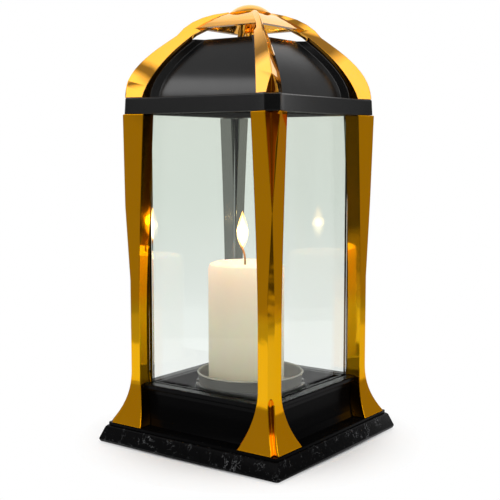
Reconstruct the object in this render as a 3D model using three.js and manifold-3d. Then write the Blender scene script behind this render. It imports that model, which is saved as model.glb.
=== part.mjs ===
// Grave lantern: a cast base, a moulded tray, four gilt corner columns, a box of four glass panes,
// a candle in a metal dish, and a lift-off lid with a vaulted dome under an open gilt crown.
// Millimetres, +Z up. The origin is the middle of the base's underside, -Y is the front.

import * as THREE from 'three';
import { mergeVertices } from 'three/addons/utils/BufferGeometryUtils.js';
import Module from 'manifold-3d';

const wasm = await Module();
wasm.setup();

// Clearances and cutting
const mergeDistance = 0.00001;
const seatGap = 0.3;
const lidSideGap = 0.6;
const cutOverrun = 2;
const grooveOverrun = 12;

// Smoothness of round and curved forms
const roundSides = 36;
const smallSides = 12;
const cornerSteps = 2;
const curveSteps = 10;
const runSteps = 3;
const wickSegments = 4;

// Base block
const baseHalf = 85.6;
const baseLean = 4;
const baseHeight = 13.1;
const baseLowerRound = 2.6;
const baseUpperRound = 1.1;
const baseCornerRadius = 2;

// Tray: flange, cove, neck and rim
const flangeInset = 1.7;
const flangeThickness = 2.5;
const flangeCornerRadius = 2;
const coveInset = 12;
const coveDepth = 6.3;
const coveHeight = 22;
const coveBend = 2.2;
const trayHeight = 33.3;
const trayRimStep = 3.1;
const trayRimEdge = 3.2;
const trayRimRound = 0.7;
const trayCornerRadius = 1.6;
const trayWall = 2.4;
const trayFloorDepth = 6.6;
const trayFloorThickness = 2.4;
const trayInnerLip = 2.2;
const paneGrooveDepth = 4;

// Glass panes
const paneInset = 8.3;
const paneThickness = 3;
const paneIntoLid = 4.1;

// Corner columns
const columnHeight = 239.3;
const columnDepth = 11.9;
const columnTopFlare = 5.1;
const columnTopDraw = 2.6;
const columnTipStep = 0.7;
const columnWall = 2.2;
const columnChamfer = 3.5;
const columnChamferRun = 58;
const columnEdgeFlat = 0.3;
const columnWaistRise = 84.4;
const columnEndLap = 0.2;
const columnEndGrowth = 6.4;
const columnEndBend = 1.5;
const footFlareHeight = 40.7;
const footFlangeInset = 0.1;
const footEndGrowth = 10;
const footReachBend = 2.3;
const footEndBend = 1.7;
const topGrooveLength = 70.2;
const topGrooveDepth = 6.5;
const footFluteRise = 37.5;
const footFluteArch = 4.5;
const footFluteArchShares = [0.5, 0.8];
const footFluteHalf = 2.3;
const footFluteDepth = 2.6;

// Tie screws: each clamps base, tray and column
const tieScrewSetback = 5;
const tieShankRadius = 1.7;
const tieBoreRadius = 2;
const tieHeadRadius = 3.8;
const tieHeadHeight = 2.6;
const tieHeadSink = 7;
const tieHeadRoom = 0.6;
const tieBossRadius = 4;
const tieBossHeight = 19.6;
const tieBossEnd = 4;
const bossWeb = 2;

// Dish, the ring that it stands in, candle and wick
const dishRoom = 9.4;
const dishLipStandOut = 1.1;
const dishWallDraft = 0.8;
const dishHeight = 13.5;
const dishWall = 0.9;
const dishBottomRound = 2.4;
const ringThickness = 2.5;
const ringHeight = 4.2;
const ringNotchWidth = 9;
const ringNotchTurn = 35.9;
const candleRoom = 10.5;
const candleHeight = 98.3;
const candleEdgeRound = 4;
const candlePlaceX = -3.1;
const candlePlaceY = -1.2;
const meltPoolDepth = 1.8;
const meltPoolEdge = 7;
const wickRadius = 0.8;
const wickSunk = 9;
const wickRise = 13;
const wickLean = 4.2;

// Lid shell: rim, ears, skirts and dome
const rimInset = 0.5;
const rimHeight = 12.3;
const rimDraft = 0.5;
const rimRound = 0.8;
const earLength = 15.2;
const earFlankStep = 3.8;
const earStandOut = 4.2;
const lidWall = 2.4;
const domeHeight = 44;
const domePanelInset = 12.8;
const domePanelRun = 27;
const domeHipInset = 7.5;
const domeHipRun = 25.7;
const domeHipWidth = 6.2;
const domeHipTopWidth = 5.7;
const domeHipChamfer = 5;
const domeBevel = 3.8;
const domeArch = 1.7;

// Crown: four ribs, cap and knob
const ribRidgeStandOut = 0.9;
const ribFootInset = 1.7;
const ribEarLap = 0.2;
const ribFootFlare = 6.2;
const ribFlareShare = 0.22;
const ribRiseBulge = 21;
const ribShoulderBulge = 13;
const ribShoulderLift = 12.1;
const ribKneeStandOut = 5.3;
const ribKneeRise = 47.5;
const ribEndReach = 12;
const ribEndStep = 0.2;
const ribCrestSetback = 7.9;
const ribCrestRise = 9.4;
const ribKneeLap = 0.2;
const ribKneeWidth = 6.3;
const ribEdgeBend = 1.25;
const ribReturn = 5.2;
const ribReturnShare = 0.8;
const ribHollowShare = 0.6;
const ribWall = 2.2;
const ribTipWall = 5.2;
const ribRidgeFlat = 0.4;
const ribGrooveSetback = 0.8;
const ribGrooveHalf = 4.2;
const ribGrooveDepth = 4;
const capInset = 2.7;
const capEdgeRise = 53;
const capRise = 12.5;
const capCrownHalf = 9;
const capArch = 1.55;
const capThickness = 2;
const knobRadius = 16.5;
const knobSunk = 0.6;
const knobRise = 6.9;
const stemRadius = 4;
const stemBelowVent = 3.2;

// Crown screws and heat shield
const crownScrewSetback = 4.9;
const crownScrewRadius = 1.2;
const crownBoreRadius = 1.5;
const crownHeadRadius = 2.6;
const crownHeadHeight = 1.8;
const crownBossRadius = 2.8;
const crownBossHeight = 11;
const crownScrewLength = 10;
const shieldInset = 6;
const shieldThickness = 0.8;
const shieldTurndown = 2.4;
const shieldScrewHeadRadius = 3.6;
const shieldScrewHeadHeight = 2;
const shieldScrewLength = 11;
const shieldScrewRadius = 1.4;

// Plan sizes that follow, as distances from the middle
const baseTopHalf = baseHalf - baseLean;
const flangeHalf = baseTopHalf - flangeInset;
const coveFootHalf = flangeHalf - coveInset;
const trayNeckHalf = coveFootHalf - coveDepth;
const trayRimHalf = trayNeckHalf + trayRimStep;
const paneOuterFace = trayRimHalf - paneInset;
const paneInnerFace = paneOuterFace - paneThickness;
const grooveOuter = paneOuterFace + seatGap;
const grooveInner = paneInnerFace - seatGap;
const trayWellHalf = grooveInner - trayInnerLip;
const returnFace = paneOuterFace + seatGap;
const columnReach = paneOuterFace + columnDepth;
const columnTopReach = columnReach + columnTopFlare;
const columnTopFlank = columnReach - columnTopDraw;
const columnTipReach = columnReach + columnTipStep;
const columnEnd = paneOuterFace - columnEndLap;
const columnTopEnd = columnEnd - columnEndGrowth;
const footReach = flangeHalf - footFlangeInset;
const footEnd = columnEnd - footEndGrowth;
const tieScrewPlace = paneOuterFace + tieScrewSetback;
const dishRimRadius = trayWellHalf - dishRoom;
const dishWallRadius = dishRimRadius - dishLipStandOut;
const dishFloorRadius = dishWallRadius - dishWallDraft;
const ringInnerRadius = dishFloorRadius + seatGap * 2;
const candleRadius = dishFloorRadius - candleRoom;
const meltPoolRadius = candleRadius - meltPoolEdge;
const innerSkirtFace = paneOuterFace + lidSideGap;
const rimHalf = columnReach - rimInset;
const earStart = rimHalf - earLength;
const earFlank = rimHalf - earFlankStep;
const earReach = rimHalf + earStandOut;
const domeFoot = rimHalf - domePanelInset;
const domeVent = domeFoot - domePanelRun;
const domeHipFoot = rimHalf - domeHipInset;
const domeHipTop = domeHipFoot - domeHipRun;
const ribFootReach = rimHalf + ribRidgeStandOut;
const ribFootHalf = rimHalf - ribFootInset;
const ribFootInner = earStart + ribEarLap;
const ribKneeReach = domeHipTop + ribKneeStandOut;
const ribKneeHalf = domeHipTop + ribKneeLap;
const ribKneeInner = ribKneeHalf - ribKneeWidth;
const ribCrestReach = ribKneeReach - ribCrestSetback;
const capHalf = domeHipTop - capInset;
const shieldRadius = domeVent - shieldInset;
const ribGrooveReach = ribFootReach - ribGrooveSetback;
const crownScrewPlace = ribFootHalf - crownScrewSetback;

// Heights that follow, from the ground up
const flangeTop = baseHeight + flangeThickness;
const trayRimTop = baseHeight + trayHeight;
const trayFloor = trayRimTop - trayFloorDepth;
const paneBottom = trayRimTop - paneGrooveDepth + seatGap;
const dishBottom = trayFloor + seatGap;
const dishTop = dishBottom + dishHeight;
const candleBottom = dishBottom + dishWall + seatGap;
const candleTop = candleBottom + candleHeight;
const footFluteTop = flangeTop + footFluteRise;
const columnWaist = flangeTop + columnWaistRise;
const columnTop = flangeTop + columnHeight;
const topGrooveFoot = columnTop - topGrooveLength;
const tieBossTop = trayRimTop + tieBossHeight;
const tieScrewTop = tieBossTop - tieBossEnd;
const paneTop = columnTop + paneIntoLid;
const rimBottom = columnTop + seatGap;
const rimTop = rimBottom + rimHeight;
const rimPlateBottom = rimTop - lidWall;
const domeTop = rimTop + domeHeight;
const stemBottom = domeTop - stemBelowVent;
const ribKneeHeight = rimTop + ribKneeRise;
const capEdgeHeight = rimTop + capEdgeRise;
const ribCrestHeight = capEdgeHeight + ribCrestRise;
const capCrownHeight = capEdgeHeight + capRise;
const ribEndHeight = capCrownHeight + ribEndStep;
const knobFootHeight = capCrownHeight - knobSunk;
const knobTop = knobFootHeight + knobRise;
const diagonal = Math.SQRT2;
const quarterTurn = Math.PI / 2;

// Solids

// Makes a solid of a closed surface: its corners are merged, and triangles with no area dropped.
function solidOf(geometry) {
  const bare = geometry.index ? geometry.toNonIndexed() : geometry.clone();
  for (const name of Object.keys(bare.attributes)) {
    if (name !== 'position') bare.deleteAttribute(name);
  }
  const merged = mergeVertices(bare, mergeDistance);
  const corners = merged.index.array;
  const kept = [];
  for (let i = 0; i < corners.length; i += 3) {
    const [a, b, c] = corners.slice(i, i + 3);
    if (a !== b && b !== c && c !== a) kept.push(a, b, c);
  }
  return new wasm.Manifold(new wasm.Mesh({
    numProp: 3,
    vertProperties: new Float32Array(merged.attributes.position.array),
    triVerts: new Uint32Array(kept),
  }));
}

// Gives a solid back as a surface.
function geometryOf(solid) {
  const mesh = solid.getMesh();
  const geometry = new THREE.BufferGeometry();
  geometry.setAttribute('position', new THREE.BufferAttribute(mesh.vertProperties.slice(), 3));
  geometry.setIndex(new THREE.BufferAttribute(mesh.triVerts.slice(), 1));
  return geometry;
}

function joined(...solids) {
  return solids.reduce((whole, piece) => whole.add(piece));
}

// Triangles that close a flat outline in space.
function capTriangles(ring) {
  const normal = new THREE.Vector3();
  ring.forEach((point, i) => {
    const next = ring[(i + 1) % ring.length];
    normal.x += (point.y - next.y) * (point.z + next.z);
    normal.y += (point.z - next.z) * (point.x + next.x);
    normal.z += (point.x - next.x) * (point.y + next.y);
  });
  normal.normalize();
  const across = new THREE.Vector3(1, 0, 0);
  if (Math.abs(normal.x) > Math.SQRT1_2) across.set(0, 1, 0);
  across.cross(normal).normalize();
  const along = new THREE.Vector3().crossVectors(normal, across);
  const flat = ring.map((point) => new THREE.Vector2(point.dot(across), point.dot(along)));
  return THREE.ShapeUtils.triangulateShape(flat, []);
}

// A closed skin over rings with the same number of points, first ring to last.
function loft(rings) {
  const count = rings[0].length;
  const triangles = [];
  for (let level = 0; level + 1 < rings.length; level += 1) {
    for (let i = 0; i < count; i += 1) {
      const next = (i + 1) % count;
      const low = level * count;
      const high = low + count;
      triangles.push([low + i, low + next, high + next], [low + i, high + next, high + i]);
    }
  }
  const last = (rings.length - 1) * count;
  for (const [a, b, c] of capTriangles(rings[0])) triangles.push([c, b, a]);
  for (const [a, b, c] of capTriangles(rings[rings.length - 1])) {
    triangles.push([last + a, last + b, last + c]);
  }
  const points = rings.flat();
  let volume = 0;
  for (const [a, b, c] of triangles) {
    volume += points[a].dot(new THREE.Vector3().crossVectors(points[b], points[c]));
  }
  if (volume < 0) triangles.forEach((triangle) => triangle.reverse());
  const geometry = new THREE.BufferGeometry();
  const places = new Float32Array(points.flatMap((point) => [point.x, point.y, point.z]));
  geometry.setAttribute('position', new THREE.BufferAttribute(places, 3));
  geometry.setIndex(triangles.flat());
  return geometry;
}

// A level square outline with rounded corners.
function squareRing(half, radius, z) {
  const ring = [];
  for (let corner = 0; corner < 4; corner += 1) {
    const turn = corner * quarterTurn;
    const centre = new THREE.Vector2(half - radius, half - radius).rotateAround(new THREE.Vector2(), turn);
    for (let step = 0; step <= cornerSteps; step += 1) {
      const angle = turn + (quarterTurn * step) / cornerSteps;
      const x = centre.x + radius * Math.cos(angle);
      const y = centre.y + radius * Math.sin(angle);
      ring.push(new THREE.Vector3(x, y, z));
    }
  }
  return ring;
}

function squareBlock(half, bottom, top) {
  const side = half * 2;
  return solidOf(new THREE.BoxGeometry(side, side, top - bottom).translate(0, 0, (bottom + top) / 2));
}

function rod(radius, bottom, top, sides = smallSides) {
  const geometry = new THREE.CylinderGeometry(radius, radius, top - bottom, sides);
  return geometry.rotateX(quarterTurn).translate(0, 0, (bottom + top) / 2);
}

function cornerRod(radius, place, bottom, top) {
  return solidOf(rod(radius, bottom, top).translate(place, place, 0));
}

// The same piece at each of the four corners or sides, as one solid.
function fourTimes(geometry) {
  const turned = [0, 1, 2, 3].map((quarter) => solidOf(geometry.clone().rotateZ(quarter * quarterTurn)));
  return joined(...turned);
}

// A revolved piece: the profile is a list of [radius, height].
function turned(profile, sides = roundSides) {
  const points = profile.map(([radius, height]) => new THREE.Vector2(radius, height));
  return new THREE.LatheGeometry(points, sides).rotateX(quarterTurn);
}

// Points of a quarter circle in a profile, from one angle to another.
function arc(centreX, centreY, radius, from, to, steps = cornerSteps) {
  const points = [];
  for (let step = 0; step <= steps; step += 1) {
    const angle = from + ((to - from) * step) / steps;
    points.push([centreX + radius * Math.cos(angle), centreY + radius * Math.sin(angle)]);
  }
  return points;
}

// Turns a plan outline of one corner into a ring: the outline is mirrored about the diagonal.
function cornerRing(outline, z) {
  const mirrored = outline.filter(([x, y]) => x !== y).map(([x, y]) => [y, x]).reverse();
  return [...outline, ...mirrored].map(([x, y]) => new THREE.Vector3(x, y, z));
}

// A V-shaped cutter along a corner's ridge. A level is [height, ridge place, half width, depth].
function ridgeGroove(levels) {
  const rings = levels.map(([z, place, half, depth]) => {
    const reach = place * diagonal;
    const spread = half * (1 + grooveOverrun / depth);
    return [[reach - depth, 0], [reach + grooveOverrun, spread], [reach + grooveOverrun, -spread]].map(
      ([out, side]) => new THREE.Vector3((out + side) / diagonal, (out - side) / diagonal, z),
    );
  });
  return solidOf(loft(rings));
}

// Base block

function baseOutline() {
  const slope = (baseHalf - baseTopHalf) / (baseHeight - baseLowerRound);
  const levels = arc(baseHalf - baseLowerRound, baseLowerRound, baseLowerRound, -quarterTurn, 0);
  const upperHalf = baseTopHalf - baseUpperRound;
  const upperHeight = baseHeight - baseUpperRound;
  levels.push([baseTopHalf + slope * baseUpperRound, upperHeight]);
  levels.push(...arc(upperHalf, upperHeight, baseUpperRound, quarterTurn / 2, quarterTurn));
  return levels.map(([half, z]) => squareRing(half, baseCornerRadius, z));
}

function makeBase() {
  const counterbore = rod(tieHeadRadius + tieHeadRoom, -cutOverrun, tieHeadSink + tieHeadHeight);
  const bore = rod(tieBoreRadius, -cutOverrun, baseHeight + cutOverrun);
  const place = tieScrewPlace;
  const block = solidOf(loft(baseOutline()));
  const cut = block.subtract(fourTimes(counterbore.translate(place, place, 0)));
  return cut.subtract(fourTimes(bore.translate(place, place, 0)));
}

// Tray

// The cove's half width at a height: it sweeps from the flange up to the neck.
function coveHalf(z) {
  const rise = Math.min(1, (z - flangeTop) / coveHeight);
  return trayNeckHalf + (coveFootHalf - trayNeckHalf) * (1 - rise) ** coveBend;
}

function trayOuter(grow, lift) {
  const rings = [
    squareRing(flangeHalf + grow, flangeCornerRadius, baseHeight + lift),
    squareRing(flangeHalf + grow, flangeCornerRadius, flangeTop + lift),
  ];
  for (let step = 0; step <= curveSteps; step += 1) {
    const z = flangeTop + (coveHeight * step) / curveSteps;
    rings.push(squareRing(coveHalf(z) + grow, trayCornerRadius, z + lift));
  }
  const lipFoot = trayRimTop - trayRimEdge;
  const lipStep = trayRimHalf - trayNeckHalf;
  rings.push(squareRing(trayNeckHalf + grow, trayCornerRadius, lipFoot - lipStep / 2 + lift));
  rings.push(squareRing(trayRimHalf + grow, trayCornerRadius, lipFoot + lift));
  rings.push(squareRing(trayRimHalf + grow, trayCornerRadius, trayRimTop - trayRimRound + lift));
  rings.push(squareRing(trayRimHalf - trayRimRound + grow, trayCornerRadius, trayRimTop + lift));
  return solidOf(loft(rings));
}

function trayHollow() {
  const top = trayFloor - trayFloorThickness;
  const rings = [squareRing(coveFootHalf - trayWall, trayCornerRadius, baseHeight - cutOverrun)];
  for (let step = 0; step <= curveSteps; step += 1) {
    const z = flangeTop + ((top - flangeTop) * step) / curveSteps;
    rings.push(squareRing(coveHalf(z) - trayWall, trayCornerRadius, z));
  }
  return solidOf(loft(rings));
}

function makeTray() {
  const grooveFloor = trayRimTop - paneGrooveDepth;
  const groove = squareBlock(grooveOuter, grooveFloor, trayRimTop + cutOverrun)
    .subtract(squareBlock(grooveInner, grooveFloor - cutOverrun, trayRimTop + cutOverrun * 2));
  const well = squareBlock(trayWellHalf, trayFloor, trayRimTop + cutOverrun);
  const tower = rod(tieBossRadius, baseHeight, trayRimTop).translate(tieScrewPlace, tieScrewPlace, 0);
  const bore = rod(tieBoreRadius, baseHeight - cutOverrun, trayRimTop + cutOverrun);
  const shell = trayOuter(0, 0).subtract(trayHollow()).add(fourTimes(tower));
  const cut = shell.subtract(groove).subtract(well);
  return cut.subtract(fourTimes(bore.translate(tieScrewPlace, tieScrewPlace, 0)));
}

// Columns

// Plan sizes of a column at a height: how far its legs end from the middle, how far out its
// face lies, and where the flank turns into the ridge.
function columnSizes(z) {
  const flare = Math.max(0, 1 - (z - flangeTop) / footFlareHeight);
  const rise = Math.max(0, (z - columnWaist) / (columnTop - columnWaist));
  const end = columnEnd
    - (columnEnd - columnTopEnd) * rise ** columnEndBend
    - (columnEnd - footEnd) * flare ** footEndBend;
  const spread = Math.max(0, (z - topGrooveFoot) / (columnTop - topGrooveFoot));
  const narrow = Math.min(1, Math.max(0, (topGrooveFoot - z) / columnChamferRun));
  const waistReach = columnTipReach + (columnReach - columnTipReach) * narrow;
  const face = columnReach + (footReach - columnReach) * flare ** footReachBend;
  const outer = z > topGrooveFoot
    ? columnTipReach + (columnTopReach - columnTipReach) * spread
    : Math.max(waistReach, face);
  const flank = z > topGrooveFoot
    ? columnTipReach - columnEdgeFlat - (columnTipReach - columnEdgeFlat - columnTopFlank) * spread
    : outer - columnEdgeFlat - (columnChamfer - columnEdgeFlat) * narrow;
  return { end, face, outer, flank };
}

function columnLevels() {
  const levels = [];
  const addRun = (from, to, steps) => {
    for (let step = 0; step < steps; step += 1) levels.push(from + ((to - from) * step) / steps);
  };
  const flareTop = flangeTop + footFlareHeight;
  addRun(flangeTop, flareTop, curveSteps);
  addRun(flareTop, topGrooveFoot - columnChamferRun, runSteps);
  addRun(topGrooveFoot - columnChamferRun, topGrooveFoot, runSteps);
  addRun(topGrooveFoot, columnTop, runSteps);
  levels.push(columnTop);
  return levels;
}

function columnOuter() {
  const rings = columnLevels().map((z) => {
    const { end, face, outer, flank } = columnSizes(z);
    return cornerRing([[returnFace, returnFace], [end, returnFace], [end, face], [flank, outer]], z);
  });
  return solidOf(loft(rings));
}

function columnHollow() {
  const wall = columnWall;
  const levels = columnLevels();
  levels[0] -= cutOverrun;
  levels[levels.length - 1] += cutOverrun;
  const rings = levels.map((z) => {
    const { end, face, outer, flank } = columnSizes(Math.min(columnTop, Math.max(flangeTop, z)));
    const depth = topGrooveDepth * Math.max(0, (z - topGrooveFoot) / (columnTop - topGrooveFoot));
    const valley = (flank + outer) / 2 - Math.max(depth, footFluteDepth) / diagonal - wall / diagonal;
    const corner = Math.min(valley, flank - wall);
    const start = end + wall;
    return cornerRing([[start, start], [start, face - wall], [corner, face - wall], [valley, valley]], z);
  });
  return solidOf(loft(rings));
}

function columnGrooves() {
  const ridgePlace = (z) => {
    const { outer, flank } = columnSizes(z);
    return (outer + flank) / 2;
  };
  const topHalf = ((columnTopReach - columnTopFlank) * diagonal) / 2;
  const topGroove = ridgeGroove([
    [topGrooveFoot, ridgePlace(topGrooveFoot) + columnEdgeFlat, columnEdgeFlat, columnEdgeFlat * 2],
    [columnTop, ridgePlace(columnTop), topHalf + columnEdgeFlat, topGrooveDepth],
    [columnTop + cutOverrun, ridgePlace(columnTop), topHalf + columnEdgeFlat, topGrooveDepth],
  ]);
  const flute = [];
  for (let step = 0; step <= curveSteps; step += 1) {
    const z = flangeTop + ((footFluteTop - footFluteArch - flangeTop) * step) / curveSteps;
    flute.push([z, ridgePlace(z), footFluteHalf, footFluteDepth]);
  }
  flute[0][0] -= cutOverrun;
  for (const share of footFluteArchShares) {
    const z = footFluteTop - footFluteArch * (1 - share);
    const narrow = Math.sqrt(1 - share ** 2);
    flute.push([z, ridgePlace(z), footFluteHalf * narrow, footFluteDepth * narrow]);
  }
  flute.push([footFluteTop, ridgePlace(footFluteTop), columnEdgeFlat, columnEdgeFlat]);
  return topGroove.add(ridgeGroove(flute));
}

function columnBoss() {
  const place = tieScrewPlace;
  const boss = cornerRod(tieBossRadius, place, trayRimTop, tieBossTop);
  const start = tieShankRadius + bossWeb / 2;
  const reach = (columnReach - place) * diagonal - start;
  const height = tieBossTop - trayRimTop - bossWeb;
  const web = new THREE.BoxGeometry(reach, bossWeb, height);
  web.translate(start + reach / 2, 0, 0).rotateZ(quarterTurn / 2);
  web.translate(place, place, trayRimTop + height / 2);
  return boss.add(solidOf(web));
}

function makeColumn() {
  const outer = columnOuter().subtract(columnGrooves());
  const shell = outer.subtract(columnHollow());
  const bossed = shell.add(columnBoss().intersect(outer));
  const place = tieScrewPlace;
  const bore = cornerRod(tieShankRadius + seatGap, place, trayRimTop - cutOverrun, tieScrewTop + seatGap);
  const tower = cornerRod(tieBossRadius + seatGap, place, baseHeight, trayRimTop + seatGap);
  let column = bossed.subtract(bore).subtract(tower);
  for (const lift of [0, seatGap]) column = column.subtract(trayOuter(seatGap, lift));
  return column;
}

// Panes, screws, dish, candle and wick

function makePane() {
  const right = paneInnerFace - seatGap;
  const width = paneOuterFace + right;
  const height = paneTop - paneBottom;
  const middle = (paneOuterFace + paneInnerFace) / 2;
  const pane = new THREE.BoxGeometry(width, paneThickness, height);
  return pane.translate((right - paneOuterFace) / 2, middle, paneBottom + height / 2);
}

// A pan-head screw that points up, with its head's underside at the given height.
function screw(seat, headRadius, headHeight, shankRadius, length) {
  const bottom = seat - headHeight;
  const tip = seat + length;
  return turned([
    [0, bottom],
    [headRadius * Math.SQRT1_2, bottom],
    [headRadius, bottom + headHeight / 2],
    [headRadius, seat],
    [shankRadius, seat],
    [shankRadius, tip - shankRadius],
    [0, tip],
  ], smallSides);
}

function makeTieScrew() {
  const seat = tieHeadSink + tieHeadHeight - seatGap;
  const place = tieScrewPlace;
  const length = tieScrewTop - seat;
  return screw(seat, tieHeadRadius, tieHeadHeight, tieShankRadius, length).translate(place, place, 0);
}

// The ring on the tray floor that keeps the dish in the middle, notched at two places.
function makeDishRing() {
  const bottom = trayFloor + seatGap;
  const top = bottom + ringHeight;
  const outer = ringInnerRadius + ringThickness;
  const ring = solidOf(turned([
    [ringInnerRadius, bottom],
    [outer, bottom],
    [outer, top],
    [ringInnerRadius, top],
    [ringInnerRadius, bottom],
  ]));
  const notch = new THREE.BoxGeometry((outer + cutOverrun) * 2, ringNotchWidth, ringHeight);
  notch.rotateZ(THREE.MathUtils.degToRad(ringNotchTurn)).translate(0, 0, top);
  return ring.subtract(solidOf(notch));
}

function makeDish() {
  const lip = (dishRimRadius - dishWallRadius + dishWall) / 2;
  const lipPlace = dishRimRadius - lip;
  const outerFloor = dishFloorRadius - dishBottomRound;
  const floorTop = dishBottom + dishWall;
  return turned([
    [0, dishBottom],
    ...arc(outerFloor, dishBottom + dishBottomRound, dishBottomRound, -quarterTurn, 0),
    [dishWallRadius, dishTop - lip * 2],
    ...arc(lipPlace, dishTop - lip, lip, -quarterTurn, quarterTurn),
    [dishWallRadius - dishWall, dishTop - lip],
    ...arc(outerFloor, dishBottom + dishBottomRound, dishBottomRound - dishWall, 0, -quarterTurn),
    [0, floorTop],
  ]);
}

function makeCandle() {
  const poolEdge = meltPoolDepth / 2;
  const body = solidOf(turned([
    [0, candleBottom],
    [candleRadius, candleBottom],
    ...arc(candleRadius - candleEdgeRound, candleTop - candleEdgeRound, candleEdgeRound, 0, quarterTurn),
    [meltPoolRadius, candleTop],
    [meltPoolRadius - poolEdge, candleTop - poolEdge],
    [0, candleTop - meltPoolDepth],
  ]));
  const bore = rod(wickRadius + seatGap, candleTop - wickSunk - seatGap, candleTop + cutOverrun);
  return geometryOf(body.subtract(solidOf(bore))).translate(candlePlaceX, candlePlaceY, 0);
}

// The wick stands straight in its bore and bows over above the wax.
function makeWick() {
  const straight = candleTop + wickRadius;
  const curve = new THREE.CubicBezierCurve3(
    new THREE.Vector3(0, 0, straight),
    new THREE.Vector3(0, 0, straight + wickRise / 2),
    new THREE.Vector3(-wickLean / 2, 0, candleTop + wickRise - wickLean / 2),
    new THREE.Vector3(-wickLean, 0, candleTop + wickRise),
  );
  const path = new THREE.CurvePath();
  path.add(new THREE.LineCurve3(new THREE.Vector3(0, 0, candleTop - wickSunk), curve.v0));
  path.add(curve);
  const section = new THREE.Shape().absarc(0, 0, wickRadius, 0, Math.PI * 2);
  const settings = { extrudePath: path, steps: curveSteps, curveSegments: wickSegments };
  const wick = new THREE.ExtrudeGeometry(section, settings);
  return geometryOf(solidOf(wick)).translate(candlePlaceX, candlePlaceY, 0);
}

// Lid shell

// The rim's plan, drawn in by the inset. The ears stand out at the corners over the columns.
function rimRing(inset, z) {
  const ring = [];
  const outline = [[earStart, rimHalf], [earFlank, earReach], [earReach, earFlank], [rimHalf, earStart]];
  const drawn = outline.map(([x, y]) => {
    const draw = (value) => (value > earStart ? value - inset : value - inset / 2);
    return [draw(x), draw(y)];
  }).reverse();
  for (let corner = 0; corner < 4; corner += 1) {
    for (const [x, y] of drawn) {
      ring.push(new THREE.Vector3(x, y, z).applyAxisAngle(new THREE.Vector3(0, 0, 1), corner * quarterTurn));
    }
  }
  return ring;
}

function rimBlock(inset, bottom, top) {
  return solidOf(loft([
    rimRing(inset - rimDraft, bottom),
    rimRing(inset, top - rimRound),
    rimRing(inset + rimRound, top),
  ]));
}

// The dome's plan at a height: four panels set back between raised hips, with chamfered corners.
function domeRing(share, z, grow) {
  const panel = domeFoot - (domeFoot - domeVent) * share ** domeArch + grow;
  const hip = domeHipFoot - (domeHipFoot - domeHipTop) * share ** domeArch + grow;
  const width = domeHipWidth - (domeHipWidth - domeHipTopWidth) * share;
  const chamfer = domeHipChamfer * (1 - share / 2);
  const panelEnd = hip - chamfer - width - domeBevel - Math.max(grow, grow * 2);
  const ring = [];
  const outline = [[panelEnd, panel], [panelEnd + domeBevel, hip], [hip - chamfer, hip]];
  for (let corner = 0; corner < 4; corner += 1) {
    for (const [x, y] of [...outline, ...outline.map(([x, y]) => [y, x]).reverse()].reverse()) {
      ring.push(new THREE.Vector3(x, y, z).applyAxisAngle(new THREE.Vector3(0, 0, 1), corner * quarterTurn));
    }
  }
  return ring;
}

function domeBody(grow, bottom, top) {
  const rings = [];
  for (let step = 0; step <= curveSteps; step += 1) {
    const share = step / curveSteps;
    const z = rimTop + (domeTop - rimTop) * share;
    rings.push(domeRing(share, z, grow));
  }
  rings.unshift(domeRing(0, bottom, grow));
  rings.push(domeRing(1, top, grow));
  return solidOf(loft(rings));
}

function makeLid() {
  const rim = rimBlock(0, rimBottom, rimTop);
  const skirtRoom = rimBlock(lidWall, rimBottom - cutOverrun, rimPlateBottom);
  const skirt = squareBlock(innerSkirtFace + lidWall, rimBottom, rimPlateBottom + lidWall / 2)
    .subtract(squareBlock(innerSkirtFace, rimBottom - cutOverrun, rimPlateBottom + lidWall));
  const dome = domeBody(0, rimPlateBottom, domeTop + seatGap);
  const hollow = domeBody(-lidWall, rimBottom - cutOverrun, domeTop + cutOverrun);
  const bore = rod(crownBoreRadius, rimPlateBottom - cutOverrun, rimTop + cutOverrun);
  const bores = fourTimes(bore.translate(crownScrewPlace, crownScrewPlace, 0));
  const shell = rim.subtract(skirtRoom).add(skirt).add(dome).subtract(hollow);
  return shell.subtract(bores);
}

// Crown

// The ridge of a rib: how far out along each side and how high, from foot to knob. A share is
// how much of the way up to the knee it lies.
function ridgePoints() {
  const shoulder = new THREE.CubicBezierCurve(
    new THREE.Vector2(ribFootReach, rimTop),
    new THREE.Vector2(ribFootReach, rimTop + ribRiseBulge),
    new THREE.Vector2(ribKneeReach + ribShoulderBulge, ribKneeHeight - ribShoulderLift),
    new THREE.Vector2(ribKneeReach, ribKneeHeight),
  );
  const crest = new THREE.QuadraticBezierCurve(
    new THREE.Vector2(ribKneeReach, ribKneeHeight),
    new THREE.Vector2(ribCrestReach, ribCrestHeight),
    new THREE.Vector2(ribEndReach, ribEndHeight),
  );
  const shares = [];
  for (let step = 0; step < runSteps; step += 1) shares.push((ribFlareShare * step) / runSteps);
  for (let step = 0; step < curveSteps; step += 1) {
    shares.push(THREE.MathUtils.lerp(ribFlareShare, 1, step / (curveSteps - 1)));
  }
  const lower = shares.map((share) => ({ share, ridge: shoulder.getPoint(share) }));
  const upper = crest.getPoints(curveSteps / 2).slice(1);
  return { lower, upper };
}

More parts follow.
